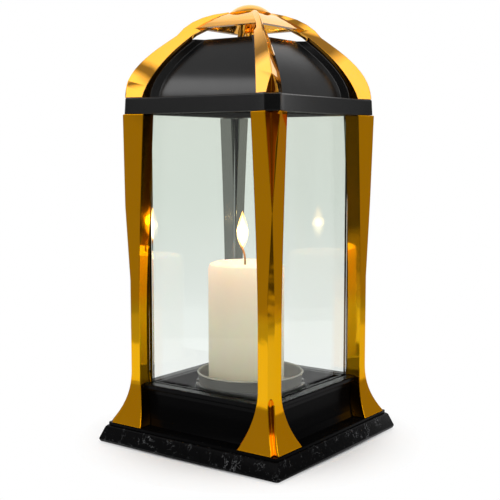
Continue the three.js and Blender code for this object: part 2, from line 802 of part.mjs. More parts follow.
// The inner edges of a rib follow the dome's corner up to the cap, then close in on the knob.
// Its foot flares out: the flare is how much further out the ridge would stand without the groove.
function ribEdges() {
  const { lower, upper } = ridgePoints();
  const edges = lower.map(({ share, ridge }) => {
    const half = THREE.MathUtils.lerp(ribFootHalf, ribKneeHalf, share ** ribEdgeBend);
    const inner = THREE.MathUtils.lerp(ribFootInner, ribKneeInner, share ** ribEdgeBend);
    const flare = ribFootFlare * Math.max(0, 1 - share / ribFlareShare);
    return { share, ridge, half, inner, flare, z: ridge.y };
  });
  const last = edges[edges.length - 1];
  upper.forEach((ridge, i) => {
    const share = (i + 1) / upper.length;
    const half = THREE.MathUtils.lerp(last.half, ribEndReach, share);
    const inner = THREE.MathUtils.lerp(last.inner, ribEndReach / 2, share);
    const z = THREE.MathUtils.lerp(last.z, capCrownHeight - capThickness, share);
    edges.push({ share: 1 + share, ridge, half, inner, flare: 0, z });
  });
  return edges;
}

// A rib's section at one place along it: a V with its point on the ridge and a short return
// behind each edge. The hollow's sections lie inside it by the wall and run on past the returns.
function ribRing({ ridge, half, inner, z }, wall, tipWall, depth) {
  const flat = ribRidgeFlat / 2;
  const tip = ridge.x - tipWall;
  const edge = inner + wall;
  const back = half - Math.min(depth, (half - edge) * ribReturnShare);
  const ring = cornerRing([[edge, back], [edge, half - wall], [tip - flat, tip + flat]], z);
  for (const point of ring.slice(2, 4)) point.setZ(THREE.MathUtils.lerp(z, ridge.y, tip / ridge.x));
  return ring;
}

function ribBody() {
  return loft(ribEdges().map((edge) => ribRing(edge, 0, -edge.flare, ribReturn)));
}

function ribHollow() {
  const edges = ribEdges().filter(({ share }) => share < ribHollowShare);
  edges[0] = { ...edges[0], ridge: edges[0].ridge.clone(), z: rimTop - cutOverrun };
  edges[0].ridge.y = rimTop - cutOverrun;
  return loft(edges.map((edge) => ribRing(edge, ribWall, ribTipWall, ribReturn + cutOverrun)));
}

// The groove in a rib's foot, from a point at the top of the flare to its full width at the rim.
function ribGroove() {
  const { ridge } = ribEdges()[runSteps];
  return ridgeGroove([
    [rimTop - cutOverrun, ribGrooveReach, ribGrooveHalf, ribGrooveDepth],
    [rimTop, ribGrooveReach, ribGrooveHalf, ribGrooveDepth],
    [ridge.y, ridge.x, columnEdgeFlat, columnEdgeFlat],
  ]);
}

function makeCap() {
  const rings = [];
  const inner = [];
  for (let step = 0; step <= curveSteps / 2; step += 1) {
    const share = step / (curveSteps / 2);
    const half = THREE.MathUtils.lerp(capHalf, capCrownHalf, share);
    const z = capCrownHeight - (capCrownHeight - capEdgeHeight) * (1 - share) ** capArch;
    rings.push(squareRing(half, capThickness / 2, z));
    inner.push(squareRing(half - capThickness, capThickness / 4, z - capThickness));
  }
  inner[0].forEach((point) => point.setZ(point.z - cutOverrun));
  return solidOf(loft(rings)).subtract(solidOf(loft(inner)));
}

function makeKnob() {
  const rise = knobTop - knobFootHeight;
  const round = (knobRadius ** 2 + rise ** 2) / (2 * rise);
  const centre = knobTop - round;
  const edgeAngle = Math.acos(knobRadius / round);
  return solidOf(turned([
    [0, knobFootHeight - capThickness],
    [knobRadius - capThickness, knobFootHeight - capThickness],
    ...arc(0, centre, round, edgeAngle, quarterTurn, curveSteps / 2),
  ]));
}

// The screw boss in a rib's foot, tied to the ridge by a web.
function crownBoss() {
  const place = crownScrewPlace;
  const top = rimTop + crownBossHeight;
  const start = crownBoreRadius + seatGap;
  const reach = (ribFootReach - ribTipWall / 2 - place) * diagonal - start;
  const height = crownBossHeight - bossWeb;
  const web = new THREE.BoxGeometry(reach, bossWeb, height);
  web.translate(start + reach / 2, 0, 0).rotateZ(quarterTurn / 2);
  web.translate(place, place, rimTop + height / 2);
  return cornerRod(crownBossRadius, place, rimTop, top).add(solidOf(web));
}

function makeCrown() {
  const outer = solidOf(ribBody());
  const bore = cornerRod(crownBoreRadius, crownScrewPlace, rimTop - cutOverrun, rimTop + crownScrewLength);
  const boss = crownBoss().intersect(outer);
  const rib = outer.subtract(solidOf(ribHollow())).add(boss).subtract(ribGroove()).subtract(bore);
  const ribs = fourTimes(geometryOf(rib));
  const stem = solidOf(rod(stemRadius, stemBottom, knobFootHeight));
  const boreTop = stemBottom + shieldScrewLength;
  const stemBore = solidOf(rod(shieldScrewRadius + seatGap, stemBottom - cutOverrun, boreTop));
  const crown = joined(ribs, makeCap(), makeKnob()).subtract(domeBody(seatGap, rimTop, domeTop + seatGap));
  return crown.add(stem).subtract(stemBore);
}

function makeCrownScrew() {
  const seat = rimPlateBottom - seatGap;
  const length = rimTop + crownScrewLength - seatGap - seat;
  const place = crownScrewPlace;
  return screw(seat, crownHeadRadius, crownHeadHeight, crownScrewRadius, length).translate(place, place, 0);
}

// The heat shield is a flat disc with its edge turned down, hung under the vent on the stem.
function makeShield() {
  const top = stemBottom - seatGap;
  const bottom = top - shieldThickness;
  const inner = shieldRadius - shieldThickness;
  const bore = shieldScrewRadius + seatGap;
  return turned([
    [bore, bottom],
    [inner, bottom],
    [inner, top - shieldTurndown],
    [shieldRadius, top - shieldTurndown],
    [shieldRadius, top],
    [bore, top],
    [bore, bottom],
  ]);
}

function makeShieldScrew() {
  const seat = stemBottom - seatGap - shieldThickness - seatGap;
  const length = stemBottom + shieldScrewLength - seatGap - seat;
  return screw(seat, shieldScrewHeadRadius, shieldScrewHeadHeight, shieldScrewRadius, length);
}

// The finished lantern

const looks = {
  stone: { color: 0x141416, roughness: 0.35, metalness: 0 },
  black: { color: 0x0b0b0d, roughness: 0.12, metalness: 0 },
  gilt: { color: 0xd79a1c, roughness: 0.12, metalness: 1 },
  glass: { color: 0xdce6e0, roughness: 0.02, metalness: 0, transparent: true, opacity: 0.35 },
  tin: { color: 0x8c8b80, roughness: 0.35, metalness: 0.8 },
  wax: { color: 0xe6d9c0, roughness: 0.55, metalness: 0 },
  char: { color: 0x1a1613, roughness: 0.95, metalness: 0 },
  steel: { color: 0xa9adb0, roughness: 0.35, metalness: 1 },
  aluminium: { color: 0xc9ccce, roughness: 0.3, metalness: 1 },
};

function piece(name, look, geometry) {
  const mesh = new THREE.Mesh(geometry, new THREE.MeshStandardMaterial(looks[look]));
  mesh.name = name;
  return mesh;
}

const lantern = new THREE.Group();
lantern.add(piece('base_block', 'stone', geometryOf(makeBase())));
lantern.add(piece('tray', 'black', geometryOf(makeTray())));
lantern.add(piece('dish_ring', 'tin', geometryOf(makeDishRing())));
lantern.add(piece('dish', 'tin', makeDish()));
lantern.add(piece('candle', 'wax', makeCandle()));
lantern.add(piece('wick', 'char', makeWick()));
lantern.add(piece('lid_shell', 'black', geometryOf(makeLid())));
lantern.add(piece('crown', 'gilt', geometryOf(makeCrown())));
lantern.add(piece('heat_shield', 'aluminium', makeShield()));
lantern.add(piece('heat_shield_screw', 'steel', makeShieldScrew()));

const columnGeometry = geometryOf(makeColumn());
const tieScrewGeometry = makeTieScrew();
const crownScrewGeometry = makeCrownScrew();
['back_right', 'back_left', 'front_left', 'front_right'].forEach((corner, quarter) => {
  const column = piece(`column_${corner}`, 'gilt', columnGeometry);
  const tieScrew = piece(`tie_screw_${corner}`, 'steel', tieScrewGeometry);
  const crownScrew = piece(`crown_screw_${corner}`, 'steel', crownScrewGeometry);
  for (const mesh of [column, tieScrew, crownScrew]) {
    mesh.rotation.z = quarter * quarterTurn;
    lantern.add(mesh);
  }
});
['back', 'left', 'front', 'right'].forEach((side, quarter) => {
  const pane = piece(`pane_${side}`, 'glass', makePane());
  pane.rotation.z = quarter * quarterTurn;
  lantern.add(pane);
});

export default lantern;
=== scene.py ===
"""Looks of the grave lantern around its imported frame: camera, light, floor, materials and flame."""

import math

import bmesh
import bpy
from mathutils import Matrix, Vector


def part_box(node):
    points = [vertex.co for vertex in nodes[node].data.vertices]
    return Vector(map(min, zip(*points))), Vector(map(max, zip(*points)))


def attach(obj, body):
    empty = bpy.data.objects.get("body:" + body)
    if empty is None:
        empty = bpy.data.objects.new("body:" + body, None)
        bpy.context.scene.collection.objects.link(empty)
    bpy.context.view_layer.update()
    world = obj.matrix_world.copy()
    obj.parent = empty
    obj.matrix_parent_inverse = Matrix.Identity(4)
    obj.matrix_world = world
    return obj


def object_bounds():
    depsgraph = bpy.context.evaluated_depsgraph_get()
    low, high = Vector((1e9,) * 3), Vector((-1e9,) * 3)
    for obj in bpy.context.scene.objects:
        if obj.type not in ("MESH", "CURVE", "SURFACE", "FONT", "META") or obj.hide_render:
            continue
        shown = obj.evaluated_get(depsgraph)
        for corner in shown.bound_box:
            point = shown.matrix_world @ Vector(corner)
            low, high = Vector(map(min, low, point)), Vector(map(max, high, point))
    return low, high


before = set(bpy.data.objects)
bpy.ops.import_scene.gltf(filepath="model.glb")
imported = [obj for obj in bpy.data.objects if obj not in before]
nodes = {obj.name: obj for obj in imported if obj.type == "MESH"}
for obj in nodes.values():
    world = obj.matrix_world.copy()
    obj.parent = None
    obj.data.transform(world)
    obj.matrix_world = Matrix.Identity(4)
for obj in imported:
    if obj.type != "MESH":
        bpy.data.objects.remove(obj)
cad_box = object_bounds()

# Lengths are in metres, apart from the camera's sensor and lens, which are in millimetres

# Camera, solved from the photograph's straight lines
CAMERA_TURN = math.radians(35.909)
CAMERA_DISTANCE = 0.77267
CAMERA_HEIGHT = 0.229618
CAMERA_PITCH = math.radians(-5.925)
CAMERA_NEAR_SHARE = 0.02
CAMERA_FAR_SHARE = 4.0
SENSOR = 36.0
LENS = 70.79

# Floor: the shadow on it fades out between two distances from the lantern's upright axis
FLOOR_RADIUS = 6.0
FLOOR_SIDES = 96
FLOOR_GAP = 0.0002
FLOOR_TONE = 0.93
SHADOW_NEAR = 0.085
SHADOW_FAR = 0.14

# What bright metal shows in place of the floor: a pale table with a wavy edge, a darker rim round it,
# and the room further out. The table's right part is darker, and reaches further
TABLE_EDGE = 0.495
TABLE_RIGHT_EDGE = 0.6
TABLE_END = 0.7
TABLE_SOFTNESS = 0.02
TABLE_WAVES = 0.035
TABLE_LIGHT = 0.87
TABLE_RIGHT_LIGHT = 0.75
TABLE_RIM_LIGHT = 0.45
TABLE_RIGHT_TURN = math.radians(75)
TABLE_SEAM = 0.05

# Studio as bright metal sees it: a dim room, dark behind the camera, with a lit backdrop and a wide
# light overhead. A pair named EDGE says where a tone begins and where it is full: as cosines of the
# angle from its middle, or for the backdrop's foot as heights
ROOM_LIGHT = 0.31
CAMERA_SIDE_LIGHT = 0.05
CAMERA_SIDE_EDGE = (0.7, 0.9)
BACKDROP_LIGHT = 1.25
BACKDROP_RISE = math.radians(47)
BACKDROP_EDGE = (0.58, 0.72)
BACKDROP_TOP_EDGE = (0.92, 0.97)
BACKDROP_FOOT_EDGE = (0.04, 0.16)
OVERHEAD_LIGHT = 1.55
OVERHEAD_TILT = math.radians(18)
OVERHEAD_TURN = math.radians(-5)
OVERHEAD_SPREAD = math.radians(30)
OVERHEAD_FADE_SHARE = 1.15

# Even light on matt surfaces: from straight below, from level and from straight above
FILL_LIGHTS = (0.6, 0.8, 1.0)

# Soft boxes beside the lantern, turned from the camera's side: the height of the lower edge, the
# width and height of the box, and its light
BOX_DISTANCE = 0.45
LEFT_BOX_TURN = math.radians(-80)
LEFT_BOX_FOOT = 0.38
LEFT_BOX_SIZE = (0.96, 0.27)
LEFT_BOX_LIGHT = 1.4
RIGHT_BOX_TURN = math.radians(62)
RIGHT_BOX_FOOT = 0.36
RIGHT_BOX_SIZE = (0.6, 0.41)
RIGHT_BOX_LIGHT = 1.25
BOX_FADE_SHARE = 0.3

# Smoothing of the curved faces
MERGE_DISTANCE = 0.000002
SMOOTH_ANGLE = math.radians(28)

# Roundness that the light shows on sharp gold and black edges
EDGE_RADIUS = 0.0008

# Depths of the surfaces' waves and grain
WAVE_DEPTH = 0.002
GRAIN_DEPTH = 0.0006
FINE_DEPTH = 0.0004

# Beyond this distance from the middle, the columns' faces that look inward are bare silver. On the
# back left column that takes in the legs' ends too
SILVER_HALF = 0.0565
SILVER_HALF_BACK = 0.045

# A face looks inward where its normal does so by more than this share
FACING_SHARE = 0.5

# The ends of the columns' legs, beyond this distance, carry painted shade: a darker gold that fades in
# between two heights and stands in for the dark lid they mirror towards the top
LEG_END_HALF = 0.045
END_SHADE_BELOW = 0.158
END_SHADE_ABOVE = 0.168

# The columns' gilding carries a painted highlight round the waist, between two heights: a lighter,
# yellower gold where the columns mirror the bright table
WAIST_BOTTOM = 0.042
WAIST_TOP = 0.115
WAIST_FADE = 0.01

# How far below the tray's inner floor its duller outside begins
WELL_MARGIN = 0.001

# Candle: how far down from its top its painted shading runs, from painted shade low down to painted
# flame light at the top;
# how far down its painted glow for the flame's light reaches and how strongly; and how far light spreads
# in the wax
WAX_SHADING_DROP = 0.1
WAX_GLOW_DROP = 0.055
WAX_GLOW_STRENGTH = 0.42
WAX_LIGHT_SPREAD = 0.012

# Lacquer over the gilding
COLUMN_LACQUER = 0.05
CROWN_LACQUER = 0.7

# How strongly the stone's veins and grains show
VEIN_STRENGTH = 0.8
GRAIN_STRENGTH = 0.25

# How much the fine rings on spun metal vary its roughness
RING_SHARES = (0.7, 1.3)

# Two tones of each surface, darker and lighter, which a noise mixes
GOLD_TONES = ((0.93, 0.385, 0.001), (0.97, 0.425, 0.003))
BLACK_TONES = ((0.001, 0.001, 0.0011), (0.002, 0.002, 0.0022))
STONE_TONES = ((0.001, 0.001, 0.001), (0.004, 0.004, 0.0045))
CHAR_TONES = ((0.12, 0.06, 0.03), (0.3, 0.17, 0.08))
DISH_RING_TONES = ((0.17, 0.17, 0.165), (0.27, 0.27, 0.26))
DISH_TONES = ((0.32, 0.31, 0.26), (0.46, 0.44, 0.37))
STEEL_TONES = ((0.5, 0.51, 0.52), (0.66, 0.67, 0.68))
ALUMINIUM_TONES = ((0.7, 0.71, 0.72), (0.82, 0.83, 0.84))

# Single tones
# Painted highlight round the columns' waist
WAIST_HIGHLIGHT_GOLD = (0.96, 0.485, 0.004)
# Painted shade on the columns' leg ends, for the dark lid they mirror
END_SHADE_GOLD = (0.3, 0.125, 0.001)
BARE_SILVER = (0.62, 0.61, 0.58)
VEIN_TONE = (0.12, 0.123, 0.127)
WAX_CLOUD = (0.9, 0.84, 0.7)
# The wax's painted glow, which stands in for the flame's light inside it
WAX_GLOW = (1.0, 0.5, 0.32)
CHAR_GLOW = (1.0, 0.32, 0.06)

# What the gilding turns to where it is seen at a slant
DEEP_GOLD = (1.0, 0.62, 0.12)
PALE_GOLD = (1.0, 0.88, 0.6)

# Tones by the share of the height at which they stand
GLASS_TONES = (
    (0.0, (0.98, 1.0, 0.985)),
    (0.35, (0.91, 0.945, 0.915)),
    (0.7, (0.86, 0.905, 0.86)),
    (1.0, (0.86, 0.9, 0.85)),
)
# The wax's tones are painted shade low down and painted light from the flame near its top
WAX_SHADE_AND_LIGHT_TONES = (
    (0.0, (0.64, 0.56, 0.37)),
    (0.5, (0.88, 0.8, 0.64)),
    (0.85, (0.96, 0.8, 0.68)),
    (1.0, (1.0, 0.92, 0.78)),
)

# Flame: a see-through veil round a brighter core, over the wick's bent end. The shares of the veil
# and the core say how far each hides what is behind it
FLAME_RISE = 0.031
FLAME_SINK = 0.004
FLAME_SHIFT = (0.0016, 0.0009)
FLAME_RADIUS = 0.0042
FLAME_SWELL_SHARE = 1.3
FLAME_TAPER_SHARE = 0.4
FLAME_SIDES = 32
FLAME_STEPS = 24
FLAME_STRENGTH = 6.0
FLAME_BRIGHT_SHARE = 0.35
FLAME_FADE_SHARE = 0.3
VEIL_SHARE = 0.45
VEIL_TONES = ((1.0, 0.42, 0.08), (1.0, 0.72, 0.3))
CORE_LIFT = 0.003
CORE_RISE_SHARE = 0.8
CORE_RADIUS_SHARE = 0.6
CORE_SHARE = 0.9
CORE_TONES = ((1.0, 0.75, 0.35), (1.0, 0.93, 0.72))
FLAME_LIGHT_TONE = (1.0, 0.62, 0.28)
FLAME_POWER = 0.35

# Where a Mix node keeps its two colours and what it makes of them
MIX_FIRST = 6
MIX_SECOND = 7
MIX_RESULT = 2

# The middle of a noise's values
NOISE_MIDDLE = 0.5


# Node helpers

def add(tree, kind, **settings):
    """A new node with its settings."""
    node = tree.nodes.new(kind)
    for name, value in settings.items():
        setattr(node, name, value)
    return node


def put(node, **values):
    """Sets a node's sockets, with underscores for the spaces in their names."""
    for name, value in values.items():
        node.inputs[name.replace("_", " ")].default_value = value
    return node


def grey(tone):
    """The same tone in all three colours."""
    return (tone, tone, tone)


def opaque(colour):
    """A colour with its full cover."""
    return (*colour, 1.0)


def new_material(name):
    """A material with its tree and its shader."""
    material = bpy.data.materials.new(name)
    material.use_nodes = True
    return material, material.node_tree, material.node_tree.nodes["Principled BSDF"]


def coordinates(tree, name):
    """One kind of a surface's coordinates."""
    return add(tree, "ShaderNodeTexCoord").outputs[name]


def parts_of(tree, name):
    """X, Y and Z of one kind of a surface's coordinates."""
    parts = add(tree, "ShaderNodeSeparateXYZ")
    tree.links.new(coordinates(tree, name), parts.inputs["Vector"])
    return parts.outputs["X"], parts.outputs["Y"], parts.outputs["Z"]


def height_of(tree):
    """Height above the lantern's underside."""
    return parts_of(tree, "Object")[2]


def noise(tree, scale, detail=3.0, roughness=0.5, source=None):
    """A noise over the piece's own coordinates, which rides with the piece, or over a source."""
    texture = put(add(tree, "ShaderNodeTexNoise"), Scale=scale, Detail=detail, Roughness=roughness)
    if source is None:
        source = coordinates(tree, "Object")
    tree.links.new(source, texture.inputs["Vector"])
    return texture.outputs["Fac"]


def ramp(tree, source, stops):
    """A colour ramp from 0 to 1: each stop is (place, colour)."""
    node = add(tree, "ShaderNodeValToRGB")
    elements = node.color_ramp.elements
    for place, colour in stops[1:-1]:
        elements.new(place)
    for element, (place, colour) in zip(elements, stops):
        element.position = place
        element.color = opaque(colour)
    tree.links.new(source, node.inputs["Fac"])
    return node.outputs["Color"]


def spread(tree, source, low, high):
    """Spreads a 0 to 1 value over another range."""
    node = put(add(tree, "ShaderNodeMapRange"), To_Min=low, To_Max=high)
    tree.links.new(source, node.inputs["Value"])
    return node.outputs["Result"]


def window(tree, source, start, end):
    """Turns a value into 0 at start and 1 at end."""
    node = put(add(tree, "ShaderNodeMapRange"), From_Min=start, From_Max=end)
    tree.links.new(source, node.inputs["Value"])
    return node.outputs["Result"]


def mixed(tree, share, first, second):
    """Mixes two colours; each is a socket or a plain colour."""
    node = add(tree, "ShaderNodeMix", data_type="RGBA")
    tree.links.new(share, node.inputs["Factor"])
    for key, value in ((MIX_FIRST, first), (MIX_SECOND, second)):
        if isinstance(value, tuple):
            node.inputs[key].default_value = opaque(value)
        else:
            tree.links.new(value, node.inputs[key])
    return node.outputs[MIX_RESULT]


def maths(tree, operation, first, second=None):
    """One step of arithmetic; each value is a socket or a plain number."""
    node = add(tree, "ShaderNodeMath", operation=operation)
    for key, value in enumerate((first, second)):
        if value is None:
            continue
        if isinstance(value, (int, float)):
            node.inputs[key].default_value = value
        else:
            tree.links.new(value, node.inputs[key])
    return node.outputs["Value"]


def along(tree, source, wanted):
    """How far a place or a direction reaches along a fixed direction."""
    node = add(tree, "ShaderNodeVectorMath", operation="DOT_PRODUCT")
    tree.links.new(source, node.inputs[0])
    node.inputs[1].default_value = wanted
    return node.outputs["Value"]


def axis_distance(tree, x, y):
    """Distance from the lantern's upright axis."""
    squares = maths(tree, "ADD", maths(tree, "MULTIPLY", x, x), maths(tree, "MULTIPLY", y, y))
    return maths(tree, "SQRT", squares)


def facing_in(tree, place, normal, limit):
    """1 on a face that looks towards the lantern's middle along one axis from beyond the limit."""
    turned = maths(tree, "MULTIPLY", normal, maths(tree, "SIGN", place))
    inward = maths(tree, "LESS_THAN", turned, -FACING_SHARE)
    outside = maths(tree, "GREATER_THAN", maths(tree, "ABSOLUTE", place), limit)
    return maths(tree, "MULTIPLY", inward, outside)


def bump(tree, shader, height, strength, depth, rounded=False):
    """Raises the surface by a height, over edges that catch the light as if rounded."""
    node = put(add(tree, "ShaderNodeBump"), Strength=strength, Distance=depth)
    tree.links.new(height, node.inputs["Height"])
    if rounded:
        edge = put(add(tree, "ShaderNodeBevel", samples=6), Radius=EDGE_RADIUS)
        tree.links.new(edge.outputs["Normal"], node.inputs["Normal"])
    tree.links.new(node.outputs["Normal"], shader.inputs["Normal"])


def mixed_shader(tree, share, first, second):
    """Mixes two shaders."""
    node = add(tree, "ShaderNodeMixShader")
    for key, value in enumerate((share, first, second)):
        tree.links.new(value, node.inputs[key])
    return node.outputs["Shader"]


def cover(tree, surface):
    """Gives a material its whole surface."""
    tree.links.new(surface, tree.nodes["Material Output"].inputs["Surface"])


# Materials

def column_tones(tree, gold, silver_from):
    """A column's gold: painted highlight round the waist, painted shade on the legs' upper ends, and
    silver inside.
    """
    places = parts_of(tree, "Object")
    normals = parts_of(tree, "Normal")
    pairs = list(zip(places[:2], normals[:2]))
    height = places[2]
    # Painted highlight: a lighter, yellower gold round the waist, where the columns mirror the bright
    # table
    above_foot = window(tree, height, WAIST_BOTTOM, WAIST_BOTTOM + WAIST_FADE)
    below_groove = window(tree, height, WAIST_TOP, WAIST_TOP - WAIST_FADE)
    gold = mixed(tree, maths(tree, "MULTIPLY", above_foot, below_groove), gold, WAIST_HIGHLIGHT_GOLD)
    # Painted shade: a darker gold on the legs' ends towards the top, where they mirror the dark lid
    ends = [facing_in(tree, place, normal, LEG_END_HALF) for place, normal in pairs]
    upper = window(tree, height, END_SHADE_BELOW, END_SHADE_ABOVE)
    end_shade = maths(tree, "MULTIPLY", maths(tree, "MAXIMUM", *ends), upper)
    gold = mixed(tree, end_shade, gold, END_SHADE_GOLD)
    inside = [facing_in(tree, place, normal, silver_from) for place, normal in pairs]
    return mixed(tree, maths(tree, "MAXIMUM", *inside), gold, BARE_SILVER)


def make_gilt(name, lacquer, edge_tint, silver_from=None):
    """Mirror gold metallising under more or less lacquer, slightly cloudy and wavy."""
    material, tree, shader = new_material(name)
    put(shader, Metallic=1.0, Coat_Weight=lacquer, Coat_Roughness=0.02, Coat_IOR=1.7)
    put(shader, Specular_Tint=opaque(edge_tint))
    gold = mixed(tree, noise(tree, scale=35.0, detail=4.0), *GOLD_TONES)
    if silver_from:
        gold = column_tones(tree, gold, silver_from)
    tree.links.new(gold, shader.inputs["Base Color"])
    polish = noise(tree, scale=60.0, detail=5.0)
    tree.links.new(spread(tree, polish, low=0.03, high=0.09), shader.inputs["Roughness"])
    waves = noise(tree, scale=45.0, detail=2.0)
    bump(tree, shader, waves, strength=0.08, depth=WAVE_DEPTH, rounded=True)
    return material


def make_black(name, shine, low_shine, low_top):
    """Glossy black moulding with faint waves and rub marks, less shiny below a height."""
    material, tree, shader = new_material(name)
    upper = maths(tree, "GREATER_THAN", height_of(tree), low_top)
    tree.links.new(spread(tree, upper, low_shine, shine), shader.inputs["Specular IOR Level"])
    black = mixed(tree, noise(tree, scale=25.0, detail=5.0), *BLACK_TONES)
    tree.links.new(black, shader.inputs["Base Color"])
    rubs = noise(tree, scale=90.0, detail=6.0, roughness=0.7)
    tree.links.new(spread(tree, rubs, low=0.16, high=0.28), shader.inputs["Roughness"])
    waves = noise(tree, scale=30.0, detail=2.0)
    bump(tree, shader, waves, strength=0.05, depth=WAVE_DEPTH, rounded=True)
    return material


def make_stone(name):
    """Polished black cast stone with short pale veins in patches, and pale grains."""
    material, tree, shader = new_material(name)
    put(shader, Specular_IOR_Level=0.03)
    body = mixed(tree, noise(tree, scale=160.0, detail=6.0, roughness=0.7), *STONE_TONES)
    wander = noise(tree, scale=170.0, detail=4.0, roughness=0.6)
    middle = maths(tree, "ABSOLUTE", maths(tree, "SUBTRACT", wander, NOISE_MIDDLE))
    line = window(tree, middle, start=0.018, end=0.004)
    patch = window(tree, noise(tree, scale=75.0, detail=3.0), start=0.53, end=0.66)
    vein = maths(tree, "MULTIPLY", maths(tree, "MULTIPLY", line, patch), VEIN_STRENGTH)
    grains = window(tree, noise(tree, scale=420.0, detail=3.0), start=0.66, end=0.76)
    mark = maths(tree, "MAXIMUM", vein, maths(tree, "MULTIPLY", grains, GRAIN_STRENGTH))
    tree.links.new(mixed(tree, mark, body, VEIN_TONE), shader.inputs["Base Color"])
    polish = noise(tree, scale=120.0, detail=5.0)
    tree.links.new(spread(tree, polish, low=0.16, high=0.34), shader.inputs["Roughness"])
    pits = noise(tree, scale=300.0, detail=4.0)
    bump(tree, shader, pits, strength=0.08, depth=GRAIN_DEPTH, rounded=True)
    return material


def make_glass(name, bottom, top):
    """Clear pane glass, faintly green and clearer low down, which lets the lamps' light through."""
    material, tree, shader = new_material(name)
    put(shader, Roughness=0.0, IOR=1.46, Transmission_Weight=1.0)
    cloud = spread(tree, noise(tree, scale=12.0, detail=2.0), low=-0.12, high=0.12)
    height = maths(tree, "ADD", window(tree, height_of(tree), bottom, top), cloud)
    tint = ramp(tree, height, GLASS_TONES)
    tree.links.new(tint, shader.inputs["Base Color"])
    clear = add(tree, "ShaderNodeBsdfTransparent")
    tree.links.new(tint, clear.inputs["Color"])
    shadow = add(tree, "ShaderNodeLightPath").outputs["Is Shadow Ray"]
    cover(tree, mixed_shader(tree, shadow, shader.outputs["BSDF"], clear.outputs["BSDF"]))
    return material


def make_metal(name, tones, roughness, ring_scale):
    """Spun or turned metal: fine rings round the piece's own axis, over a cloudy tone."""
    material, tree, shader = new_material(name)
    put(shader, Metallic=1.0)
    x, y, z = parts_of(tree, "Object")
    across = add(tree, "ShaderNodeCombineXYZ")
    tree.links.new(maths(tree, "ADD", axis_distance(tree, x, y), z), across.inputs["X"])
    rings = noise(tree, ring_scale, roughness=0.6, source=across.outputs["Vector"])
    tree.links.new(mixed(tree, noise(tree, scale=70.0, detail=4.0), *tones), shader.inputs["Base Color"])
    smooth, rough = (roughness * share for share in RING_SHARES)
    tree.links.new(spread(tree, rings, smooth, rough), shader.inputs["Roughness"])
    bump(tree, shader, rings, strength=0.12, depth=FINE_DEPTH)
    return material


def make_wax(name, top):
    """Ivory wax with painted shade low down, and painted light and glow from the flame near its top."""
    material, tree, shader = new_material(name)
    put(shader, Subsurface_Weight=0.6, Subsurface_Scale=WAX_LIGHT_SPREAD, Roughness=0.45)
    put(shader, Subsurface_Radius=(1.0, 0.55, 0.3), Emission_Color=opaque(WAX_GLOW))
    z = height_of(tree)
    # Painted shade low down and painted light from the flame near the top, by height
    colour = ramp(tree, window(tree, z, top - WAX_SHADING_DROP, top), WAX_SHADE_AND_LIGHT_TONES)
    cloud = spread(tree, noise(tree, scale=55.0, detail=4.0), low=0.0, high=0.25)
    tree.links.new(mixed(tree, cloud, colour, WAX_CLOUD), shader.inputs["Base Color"])
    # Painted glow near the top, for the flame's light in the wax
    glow = maths(tree, "POWER", window(tree, z, top - WAX_GLOW_DROP, top), 2.0)
    strength = maths(tree, "MULTIPLY", glow, WAX_GLOW_STRENGTH)
    tree.links.new(strength, shader.inputs["Emission Strength"])
    bump(tree, shader, noise(tree, scale=120.0, detail=5.0), strength=0.15, depth=GRAIN_DEPTH)
    return material


def make_char(name, bottom, top):
    """Burnt cotton, which glows towards its tip."""
    material, tree, shader = new_material(name)
    put(shader, Roughness=0.95, Emission_Color=opaque(CHAR_GLOW))
    fibre = noise(tree, scale=600.0)
    tree.links.new(mixed(tree, fibre, *CHAR_TONES), shader.inputs["Base Color"])
    glow = maths(tree, "MULTIPLY", window(tree, height_of(tree), bottom, top), fibre)
    tree.links.new(glow, shader.inputs["Emission Strength"])
    bump(tree, shader, noise(tree, scale=900.0), strength=0.6, depth=FINE_DEPTH)
    return material


def make_flame(name, bottom, top, tones, share):
    """Burning gas: light that is partly see-through, and palest a little below the middle."""
    material = bpy.data.materials.new(name)
    material.use_nodes = True
    tree = material.node_tree
    tree.nodes.remove(tree.nodes["Principled BSDF"])
    deep, pale = tones
    height = window(tree, height_of(tree), bottom, top)
    colour = ramp(tree, height, ((0.0, deep), (FLAME_BRIGHT_SHARE, pale), (1.0, deep)))
    light = put(add(tree, "ShaderNodeEmission"), Strength=FLAME_STRENGTH)
    tree.links.new(colour, light.inputs["Color"])
    clear = add(tree, "ShaderNodeBsdfTransparent")
    veil = maths(tree, "MULTIPLY", window(tree, height, 0.0, FLAME_FADE_SHARE), share)
    cover(tree, mixed_shader(tree, veil, clear.outputs["BSDF"], light.outputs["Emission"]))
    return material


def make_looks():
    """Each node's material by how the node's name begins, where the first that fits is taken."""
    pane_low, pane_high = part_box("pane_front")
    candle_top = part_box("candle")[1].z
    wick_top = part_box("wick")[1].z
    well_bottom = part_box("dish_ring")[0].z - WELL_MARGIN
    rim_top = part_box("crown")[0].z
    steel = make_metal("steel", STEEL_TONES, roughness=0.3, ring_scale=900.0)
    return [
        ("base_block", make_stone("stone")),
        ("tray", make_black("black_tray", shine=0.06, low_shine=0.02, low_top=well_bottom)),
        ("lid_shell", make_black("black_lid", shine=0.85, low_shine=0.55, low_top=rim_top)),
        ("column_back_left", make_gilt("gilt_column_back", COLUMN_LACQUER, DEEP_GOLD, SILVER_HALF_BACK)),
        ("column_", make_gilt("gilt_column", COLUMN_LACQUER, DEEP_GOLD, SILVER_HALF)),
        ("crown_screw_", steel),
        ("tie_screw_", steel),
        ("crown", make_gilt("gilt_crown", CROWN_LACQUER, PALE_GOLD)),
        ("pane_", make_glass("glass", pane_low.z, pane_high.z)),
        ("dish_ring", make_metal("tin_ring", DISH_RING_TONES, roughness=0.5, ring_scale=700.0)),
        ("dish", make_metal("tin", DISH_TONES, roughness=0.5, ring_scale=700.0)),
        ("candle", make_wax("wax", candle_top)),
        ("wick", make_char("char", candle_top, wick_top)),
        ("heat_shield_screw", steel),
        ("heat_shield", make_metal("aluminium", ALUMINIUM_TONES, roughness=0.28, ring_scale=800.0)),
    ]


# Pieces

